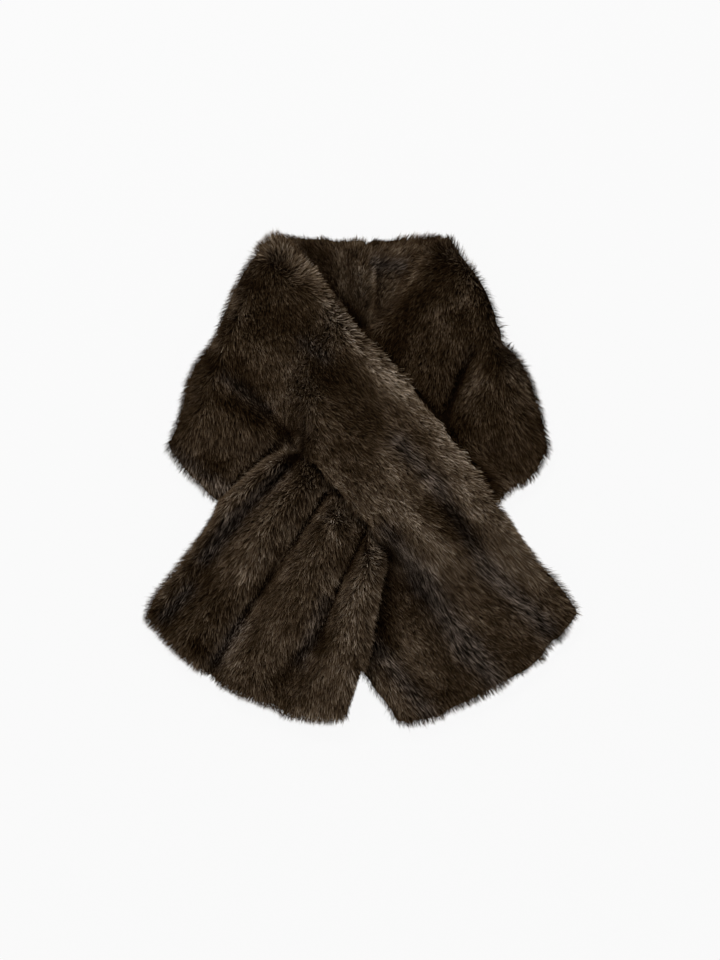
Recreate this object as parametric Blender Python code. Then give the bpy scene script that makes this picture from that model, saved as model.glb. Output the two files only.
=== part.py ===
"""Fur collar wrap: a straight double-faced fur stole, lying flat on a surface at z = 0.

The stole is folded at both shoulders, so that its two fronts lie on its back. The fronts cross, and the
lower one is pulled through a slit in the upper one and fans out in four folds. Each stretch is a closed
panel as thick as one layer of fur, and lies on the panels below it. Tables are in millimetres, with +Y
towards the neck and +Z up, and MM turns them into Blender's metres.
"""

from collections import namedtuple

import bpy
import numpy as np

for old in list(bpy.data.objects):
    bpy.data.objects.remove(old, do_unlink=True)

MM = 0.001

# Driving sizes, in millimetres
LAYER = 21.0  # one layer of fur lying loose: pile, backing, pile
GAP = 0.7  # clearance between two layers
SEAM = 0.3  # clearance between two panels sewn edge to edge
RIM_TOP = 17.0  # how far in from an edge the upper face is rounded
RIM_BOTTOM = 9.0  # the same for the lower face
SHOULDER_ROLL = 34.0  # width of the rolled fur at a shoulder fold
STEP_START, STEP_END = 5.5, 19.0  # a layer clears the edge below it, then drops to the surface
BRIDGE = 105.0  # how far the over front's upper face takes to come down past the under front
BRIDGE_EDGE = (-22.0, 26.0)  # and where it starts and ends across the line of the slit
TAIL_FALL = (-12.0, 62.0)  # where the pulled end comes down, from the over front's outer edge
SEAM_INSET = 8.0  # the pulled end is joined on this far inside the slit
PASSAGE = 12.0  # the band keeps its height this far past that seam
CLIMB = 22.0  # over this length the under front rises to cross the slit's lower lip
GATHER = 0.12  # share of the slit left clear at each end by the fur gathered in it
EMERGE = (-4.0, 26.0)  # past the slit, where the pulled end starts and finishes rising to its full height
COVERED = 14.0  # the under front takes its loose height this far out from under the over front
CENTRE_BACK_X = 4.0
NECK_Y = (150.0, 185.0)  # the back is flat below this stretch, and loose above it, in the neck opening

BACK_TOP = LAYER
UNDER_TOP = BACK_TOP + GAP + LAYER

# A station is a line across a panel from edge a to edge b. bow is how far its middle bends to the left
# of the way from a to b.
Station = namedtuple("Station", "ax ay bx by bow")

OVER = (
    Station(-91, 271, -214, 35, 0),
    Station(-46, 227, -193, 5, 0),
    Station(0, 164, -173, -16, 0),
    Station(32, 128, -156, -29, 0),
    Station(80, 69, -108, -80, 0),
    Station(127, 13, -62, -135, 0),
    Station(178, -67, -10, -207, 7),
    Station(238, -146, 43, -271, 24),
)
SLIT_FROM, SLIT_TO = 3, 5  # the slit runs between these stations of the over front
SLIT_SHARE = 0.55  # how far across them it lies


def slit_end_at(station):
    start = np.array((station.ax, station.ay))
    return start + SLIT_SHARE * (np.array((station.bx, station.by)) - start)


SLIT_TOP, SLIT_END = slit_end_at(OVER[SLIT_FROM]), slit_end_at(OVER[SLIT_TO])
SLIT_LENGTH = np.linalg.norm(SLIT_END - SLIT_TOP)
SLIT_LINE = (SLIT_END - SLIT_TOP) / SLIT_LENGTH
INTO_BAND = np.array((-SLIT_LINE[1], SLIT_LINE[0]))


def by_slit(share, inset):
    """The plan point at this share of the slit, this far in under the band."""
    return SLIT_TOP + share * (SLIT_END - SLIT_TOP) + inset * INTO_BAND


UNDER = (
    Station(95, 269, 206, 32, 0),
    Station(62, 256, 193, 6, 0),
    Station(36, 201, 166, -15, 0),
    Station(4, 170, 136, -33, 0),
    Station(-30, 118, 92, -47, 0),
    Station(*by_slit(GATHER, SEAM_INSET), *by_slit(1 - GATHER, SEAM_INSET), 0),
)

TAIL = (
    Station(*by_slit(GATHER, SEAM_INSET - SEAM), *by_slit(1 - GATHER, SEAM_INSET - SEAM), 0),
    Station(*by_slit(0.07, -6), *by_slit(0.97, -6), 0),
    Station(-102, 19, 27, -84, 0),
    Station(-129, -3, 25, -106, 0),
    Station(-157, -27, 20, -133, 0),
    Station(-181, -62, 14, -163, 0),
    Station(-205, -95, 8, -196, -6),
    Station(-227, -123, -1, -229, -18),
    Station(-236, -150, -13, -261, -36),
)

BACK_LEFT = (
    Station(-84, 265, -176, 64, -10),
    Station(-55, 263, -120, 62, 0),
    Station(CENTRE_BACK_X - SEAM / 2, 262, CENTRE_BACK_X - SEAM / 2, 60, 0),
)
BACK_RIGHT = (
    Station(CENTRE_BACK_X + SEAM / 2, 262, CENTRE_BACK_X + SEAM / 2, 60, 0),
    Station(58, 265, 120, 61, 0),
    Station(86, 267, 169, 62, 10),
)

# The outline of each shoulder fold: how far it stands out of its chord, down from the neck
FoldPoint = namedtuple("FoldPoint", "share out")
LEFT_FOLD = (
    FoldPoint(0.00, 0),
    FoldPoint(0.10, 14),
    FoldPoint(0.30, 17.5),
    FoldPoint(0.50, 11.5),
    FoldPoint(0.68, 17),
    FoldPoint(0.86, 6),
    FoldPoint(1.00, 0),
)
RIGHT_FOLD = (
    FoldPoint(0.00, 0),
    FoldPoint(0.12, 4),
    FoldPoint(0.30, 12),
    FoldPoint(0.45, 6.5),
    FoldPoint(0.66, 15.5),
    FoldPoint(0.85, 8),
    FoldPoint(1.00, 0),
)

# Soft ridges (rise above 0) and troughs (below 0) of the loose fur, each along a line in plan
Fold = namedtuple("Fold", "x0 y0 x1 y1 width rise")
OVER_FOLDS = (
    Fold(-150, 160, -185, 60, 26, 6),  # shoulder
    Fold(-60, 205, 20, 110, 22, 4),  # roll along the neck edge
    Fold(-132, 118, -84, 50, 17, -9),  # pull towards the slit
    Fold(-40, 85, 60, -30, 30, 6),  # crown of the band
    Fold(112, -45, 190, -140, 15, -5),
    Fold(150, -35, 215, -125, 16, 4),
    Fold(40, -110, 70, -235, 17, -5),
    Fold(75, -90, 130, -215, 20, 4),
)
UNDER_FOLDS = (
    Fold(118, 133, 88, 64, 14, -11),  # pull of the crossing front
    Fold(150, 120, 138, 60, 24, 6),
    Fold(100, 215, 70, 190, 24, 5),
    Fold(165, 20, 190, 60, 18, 4),
)
BACK_FOLDS = (
    Fold(-3, 240, -1, 190, 7, 5),  # pucker at the centre back
    Fold(11, 232, 13, 195, 5, -4),
)

# The edges of the pulled end and the valleys between its four folds, at the slit, midway and at the hem:
# how far across each lies, and its depth below the folds' tops
Valley = namedtuple("Valley", "slit_share mid_share hem_share slit_depth mid_depth hem_depth")
TAIL_VALLEYS = (
    Valley(0.00, 0.00, 0.00, 6, 5, 1),  # upper left edge
    Valley(0.14, 0.115, 0.10, 15, 14, 5),
    Valley(0.42, 0.435, 0.37, 24, 23, 10),
    Valley(0.84, 0.760, 0.68, 22, 21, 9),
    Valley(1.00, 1.00, 1.00, 6, 5, 1),  # right edge
)
TAIL_CROWN = (22.0, 21.0, 10.0)  # how far the folds stand above one layer, at the same three places
FOLD_POWER = 2.4  # 2 makes a fold round, and more makes its top flatter and its valleys narrower


def smooth(table, at):
    """Rows of the table read at fractional row numbers, on a curve through every row."""
    table = np.array(table, float)
    padded = np.vstack((2 * table[0] - table[1], table, 2 * table[-1] - table[-2]))
    start = np.clip(np.floor(at).astype(int), 0, len(table) - 2)
    u = (np.asarray(at) - start)[:, None]
    p0, p1, p2, p3 = (padded[start + k] for k in range(4))
    return p1 + 0.5 * u * (p2 - p0 + u * (2 * p0 - 5 * p1 + 4 * p2 - p3 + u * (3 * (p1 - p2) + p3 - p0)))


def ramp(x, start, end):
    """0 at start and before, 1 at end and after, with a smooth rise between."""
    u = np.clip((x - start) / (end - start), 0, 1)
    return u * u * (3 - 2 * u)


def spaced(start, end, count, ease=0.6):
    """count + 1 values from start to end, closer together at both ends."""
    u = np.linspace(0, 1, count + 1)
    return start + (end - start) * ((1 - ease) * u + ease * (1 - np.cos(np.pi * u)) / 2)


def plan(stations, rows, shares, fold=(), fold_side=1):
    """Plan points, rows by shares. A fold's outline fades out over the first station."""
    table = smooth(stations, rows)
    edge_a, edge_b, bow = table[:, None, 0:2], table[:, None, 2:4], table[:, None, 4:5]
    across = edge_b - edge_a
    left = np.stack((-across[..., 1], across[..., 0]), -1) / np.linalg.norm(across, axis=-1, keepdims=True)
    points = edge_a + across * shares[None, :, None]
    points = points + left * bow * (np.sin(np.pi * shares) ** 0.7)[None, :, None]
    if fold:
        out = smooth([[p.out] for p in fold], np.interp(shares, [p.share for p in fold], range(len(fold))))
        fade = 1 - ramp(rows, 0, 1)
        points = points + left * fold_side * out[None] * fade[:, None, None]
    return points


def outline(points):
    """The closed outline of a grid of plan points."""
    return np.concatenate((points[0, :-1], points[:-1, -1], points[-1, :0:-1], points[:0:-1, 0]))


def from_lines(points, starts, ends):
    """Distance from each point to the nearest of the lines."""
    along = ends - starts
    offset = points[:, None] - starts[None]
    share = np.clip((offset * along).sum(-1) / np.maximum((along**2).sum(-1), 1e-9), 0, 1)
    return np.linalg.norm(offset - share[..., None] * along, axis=-1).min(1)


def outside(points, loop):
    """Signed distance from a closed outline, negative inside it."""
    flat = points.reshape(-1, 2)
    ends = np.roll(loop, -1, axis=0)
    distance = from_lines(flat, loop, ends)
    x, y = flat[:, None, 0], flat[:, None, 1]
    crosses = (loop[None, :, 1] > y) != (ends[None, :, 1] > y)
    rise = np.where(ends[:, 1] == loop[:, 1], 1, ends[:, 1] - loop[:, 1])
    crossing_x = loop[:, 0] + (y - loop[:, 1]) * (ends[:, 0] - loop[:, 0]) / rise
    inside = (crosses & (x < crossing_x)).sum(1) % 2 == 1
    return np.where(inside, -distance, distance).reshape(points.shape[:-1])


def relief(points, folds):
    """Height of the soft ridges and troughs at each plan point."""
    flat = points.reshape(-1, 2)
    height = np.zeros(len(flat))
    for fold in folds:
        distance = from_lines(flat, np.array([(fold.x0, fold.y0)]), np.array([(fold.x1, fold.y1)]))
        height += fold.rise * np.exp(-((distance / fold.width) ** 2))
    return height.reshape(points.shape[:-1])


def step(points, loop, height):
    """Underside of a layer that lies on a panel with this outline, and on the surface beyond it."""
    return height * (1 - ramp(outside(points, loop), STEP_START, STEP_END))


def rounded(edge_distance, reach):
    """Share of the half thickness left this near an edge, on a quarter ellipse."""
    return np.sqrt(1 - (1 - np.clip(edge_distance / reach, 0, 1)) ** 2)


class Panel:
    """A closed panel: two grids of points that meet in one line along every edge."""

    def __init__(self, name, tint):
        self.name, self.tint = name, tint
        self.index, self.places, self.quads = {}, [], []

    def point(self, key, place):
        if key not in self.index:
            self.index[key] = len(self.places)
            self.places.append(place)
        return self.index[key]

    def add_grid(self, points, bottom, top, rim, tag):
        """Adds one sheet of cells. rim marks the points where its two faces meet."""
        half = (top - bottom) / 2
        edges = points[rim]
        distance = from_lines(points.reshape(-1, 2), edges, edges).reshape(rim.shape)
        middle = bottom + half
        upper = np.where(rim, middle, middle + half * rounded(distance, RIM_TOP))
        lower = np.where(rim, middle, middle - half * rounded(distance, RIM_BOTTOM))
        rows, columns = rim.shape
        for i in range(rows - 1):
            for j in range(columns - 1):
                corners = ((i, j), (i, j + 1), (i + 1, j + 1), (i + 1, j))
                for heights, face in ((upper, "upper"), (lower, "lower")):
                    ids = []
                    for at in corners:
                        key = tag(at) + (() if rim[at] else (face,))
                        ids.append(self.point(key, (*points[at], heights[at])))
                    self.quads.append(ids if face == "upper" else ids[::-1])

    def build(self, centre):
        """The Blender object, with its faces out, moved so that centre is at the origin."""
        places = (np.array(self.places) - (*centre, 0)) * MM
        mesh = bpy.data.meshes.new(self.name)
        mesh.from_pydata(places.tolist(), [], self.quads)
        if signed_volume(places, self.quads) < 0:
            mesh.flip_normals()
        mesh.shade_smooth()
        mesh.materials.append(fur_material(self.name, self.tint))
        bpy.context.scene.collection.objects.link(bpy.data.objects.new(self.name, mesh))


def signed_volume(places, quads):
    a, b, c, d = (places[np.array(quads)[:, k]] for k in range(4))
    return (np.einsum("ij,ij->i", a, np.cross(b, c)) + np.einsum("ij,ij->i", a, np.cross(c, d))).sum() / 6


def fur_material(name, tint):
    material = bpy.data.materials.new(name + "_fur")
    material.use_nodes = True
    shader = material.node_tree.nodes["Principled BSDF"]
    shader.inputs["Base Color"].default_value = (*tint, 1)
    shader.inputs["Roughness"].default_value = 0.9
    shader.inputs["Metallic"].default_value = 0
    material.diffuse_color = (*tint, 1)
    return material


def edge_mask(rows, columns):
    rim = np.zeros((rows, columns), bool)
    rim[0] = rim[-1] = True
    rim[:, 0] = rim[:, -1] = True
    return rim


def simple_panel(name, tint, points, bottom, top):
    panel = Panel(name, tint)
    panel.add_grid(points, bottom, top, edge_mask(*bottom.shape), lambda at: at)
    return panel


def back_half(name, tint, stations):
    points = plan(stations, spaced(0, len(stations) - 1, 13), spaced(0, 1, 14))
    level = np.zeros(points.shape[:2])
    loose = ramp(points[..., 1], *NECK_Y) * relief(points, BACK_FOLDS)
    return simple_panel(name, tint, points, level, level + BACK_TOP + loose)


def over_rows():
    """Station numbers of the over front's rows, closer at its two ends and at the slit's."""
    return np.concatenate(
        (
            spaced(0, SLIT_FROM, 15)[:-1],
            spaced(SLIT_FROM, SLIT_TO, 12, ease=0.4)[:-1],
            spaced(SLIT_TO, len(OVER) - 1, 15),
        )
    )


def over_front(tint, back_loop, passage_loop):
    """The over front, with the band over the under front and the outer strip on the surface."""
    rows = over_rows()
    band_shares = spaced(0, SLIT_SHARE, 12)
    strip_shares = spaced(SLIT_SHARE, 1, 10)
    panel = Panel("front_over", tint)
    for side, shares in (("band", band_shares), ("strip", strip_shares)):
        points = plan(OVER, rows, shares, LEFT_FOLD, -1)
        slit_column = len(shares) - 1 if side == "band" else 0
        in_slit = (rows > SLIT_FROM) & (rows < SLIT_TO)
        at_slit = (rows >= SLIT_FROM) & (rows <= SLIT_TO)
        rim = np.zeros(points.shape[:2], bool)
        rim[[0, -1]] = True
        rim[:, -1 if side == "strip" else 0] = True
        rim[at_slit, slit_column] = True
        bottom, top = over_faces(points, rows, side, back_loop, passage_loop)

        def tag(at, side=side, column=slit_column, split=in_slit):
            if at[1] == column and not split[at[0]]:
                return (at[0], "slit line")
            return (*at, side)

        panel.add_grid(points, bottom, top, rim, tag)
    return panel


def one_layer_top(points, back_loop, folds):
    """Upper face of one layer that lies on the back, and comes down to the surface past its hem."""
    lift = (BACK_TOP + GAP) * (1 - ramp(outside(points, back_loop), 0, SHOULDER_ROLL))
    return np.maximum(lift, step(points, back_loop, BACK_TOP + GAP)) + LAYER + relief(points, folds)


def over_top(points, side, back_loop, passage_loop):
    """Upper face of the over front, which comes down slowly on all sides of the under front below it."""
    into_band = (points - SLIT_TOP) @ INTO_BAND
    along_slit = (points - SLIT_TOP) @ SLIT_LINE
    lift = UNDER_TOP + GAP
    bridge = lift * (1 - ramp(outside(points, passage_loop), 0, BRIDGE)) * ramp(into_band, *BRIDGE_EDGE)
    if side == "strip":
        past_slit = np.maximum(-along_slit, along_slit - SLIT_LENGTH)
        bridge = bridge * ramp(past_slit, 0, BRIDGE_EDGE[1])
    one_layer = one_layer_top(points, back_loop, OVER_FOLDS)
    return np.maximum(one_layer, bridge + LAYER + relief(points, OVER_FOLDS))


def over_faces(points, rows, side, back_loop, passage_loop):
    """Heights of the over front's two faces, for its band or its outer strip."""
    lift = step(points, passage_loop, UNDER_TOP + GAP)
    if side == "strip":
        lift = np.where(((rows > SLIT_FROM) & (rows < SLIT_TO))[:, None], 0, lift)
    bottom = np.maximum(step(points, back_loop, BACK_TOP + GAP), lift)
    top = over_top(points, side, back_loop, passage_loop)
    return bottom, np.maximum(top, bottom + LAYER + relief(points, OVER_FOLDS))


def under_front(tint, back_loop, over_loop):
    rows = spaced(0, len(UNDER) - 1, 18)
    points = plan(UNDER, rows, spaced(0, 1, 18), RIGHT_FOLD, 1)
    bottom = step(points, back_loop, BACK_TOP + GAP)
    climb = ramp(SEAM_INSET + CLIMB - (points - SLIT_TOP) @ INTO_BAND, 0, CLIMB)
    bottom = np.maximum(bottom, (LAYER + GAP) * climb)
    seen = ramp(outside(points, over_loop), 0, COVERED)
    top = seen * one_layer_top(points, back_loop, UNDER_FOLDS) + (1 - seen) * UNDER_TOP
    return simple_panel("front_under", tint, points, bottom, top)


def valley_relief(along, shares):
    """Height of the pulled end's folds above one layer, for stations along and shares across."""
    places = (0, 0.5, 1)
    height = np.interp(along, places, TAIL_CROWN)[:, None] * np.ones_like(shares)
    for before, after in zip(TAIL_VALLEYS, TAIL_VALLEYS[1:]):
        start, end = (np.interp(along, places, valley[0:3])[:, None] for valley in (before, after))
        depths = [np.interp(along, places, valley[3:6])[:, None] for valley in (before, after)]
        across = np.clip((shares - start) / (end - start), 0, 1)
        inside = (shares >= start) & ((shares < end) | (after is TAIL_VALLEYS[-1]))
        height = height - inside * np.where(across < 0.5, *depths) * np.abs(2 * across - 1) ** FOLD_POWER
    return height


def pulled_end(tint, back_loop, passage_loop, over_loop):
    rows = spaced(0, len(TAIL) - 1, 20)
    shares = np.linspace(0, 1, 35)
    points = plan(TAIL, rows, shares)
    along = rows / rows[-1]
    layer_below = over_top(points, "strip", back_loop, passage_loop) + GAP
    bottom = step(points, over_loop, layer_below)
    out_of_slit = ramp((SLIT_TOP - points) @ INTO_BAND, *EMERGE)
    lift = np.maximum(bottom, layer_below * (1 - ramp(outside(points, over_loop), *TAIL_FALL)))
    loose_top = lift + LAYER + valley_relief(along, shares)
    top = out_of_slit * loose_top + (1 - out_of_slit) * UNDER_TOP
    return simple_panel("front_tail", tint, points, bottom, top)


def main():
    fine = np.linspace(0, 1, 41)  # shares across, for outlines
    back_loop = outline(plan(BACK_LEFT + BACK_RIGHT, np.linspace(0, 5, 61), fine))
    over_loop = outline(plan(OVER, np.linspace(0, len(OVER) - 1, 81), fine, LEFT_FOLD, -1))
    under_plan = plan(UNDER, np.linspace(0, len(UNDER) - 1, 61), fine, RIGHT_FOLD, 1)
    # What passes under the band is the under front and the first of the pulled end
    passage_loop = outline(np.concatenate((under_plan, under_plan[-1:] - PASSAGE * INTO_BAND)))
    panels = (
        back_half("back_left", (0.034, 0.025, 0.017), BACK_LEFT),
        back_half("back_right", (0.034, 0.025, 0.017), BACK_RIGHT),
        over_front((0.040, 0.029, 0.020), back_loop, passage_loop),
        under_front((0.036, 0.027, 0.018), back_loop, over_loop),
        pulled_end((0.038, 0.028, 0.019), back_loop, passage_loop, over_loop),
    )
    places = np.vstack([panel.places for panel in panels])
    centre = (places[:, :2].min(0) + places[:, :2].max(0)) / 2
    for panel in panels:
        panel.build(centre)


main()
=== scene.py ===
# Fur collar wrap: one pelt for each panel, the pile that grows on it, and a pale surface under it all.
import math

import bmesh
import bpy
import numpy as np
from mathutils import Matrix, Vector, noise
from mathutils.bvhtree import BVHTree


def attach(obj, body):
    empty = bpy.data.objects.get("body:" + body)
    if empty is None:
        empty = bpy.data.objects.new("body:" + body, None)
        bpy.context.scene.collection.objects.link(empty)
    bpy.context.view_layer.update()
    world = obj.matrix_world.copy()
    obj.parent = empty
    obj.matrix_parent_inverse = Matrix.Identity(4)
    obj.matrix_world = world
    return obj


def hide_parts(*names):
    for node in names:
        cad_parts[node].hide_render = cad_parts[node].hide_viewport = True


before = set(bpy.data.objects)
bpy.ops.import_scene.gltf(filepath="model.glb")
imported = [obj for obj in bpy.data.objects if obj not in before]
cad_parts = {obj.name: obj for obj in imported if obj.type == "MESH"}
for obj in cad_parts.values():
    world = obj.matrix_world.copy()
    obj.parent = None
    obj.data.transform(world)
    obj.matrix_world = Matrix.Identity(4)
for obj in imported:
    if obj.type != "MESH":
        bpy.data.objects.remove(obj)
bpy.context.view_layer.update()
mm = 0.001

# At a seam and along some edges a pelt isn't drawn in sideways. Rows are x0, y0, x1, y1, width (mm), share.
centreSeam = (3, 275, 3, 50, 12, 1.0)
slitSeam = (-54, 34, 18, -50, 12, 1.0)
neckEdge = (-105, 264, 90, 266, 10, 0.7)
slitLips = (-71, 42, 23, -68, 12, 1.0)

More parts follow.
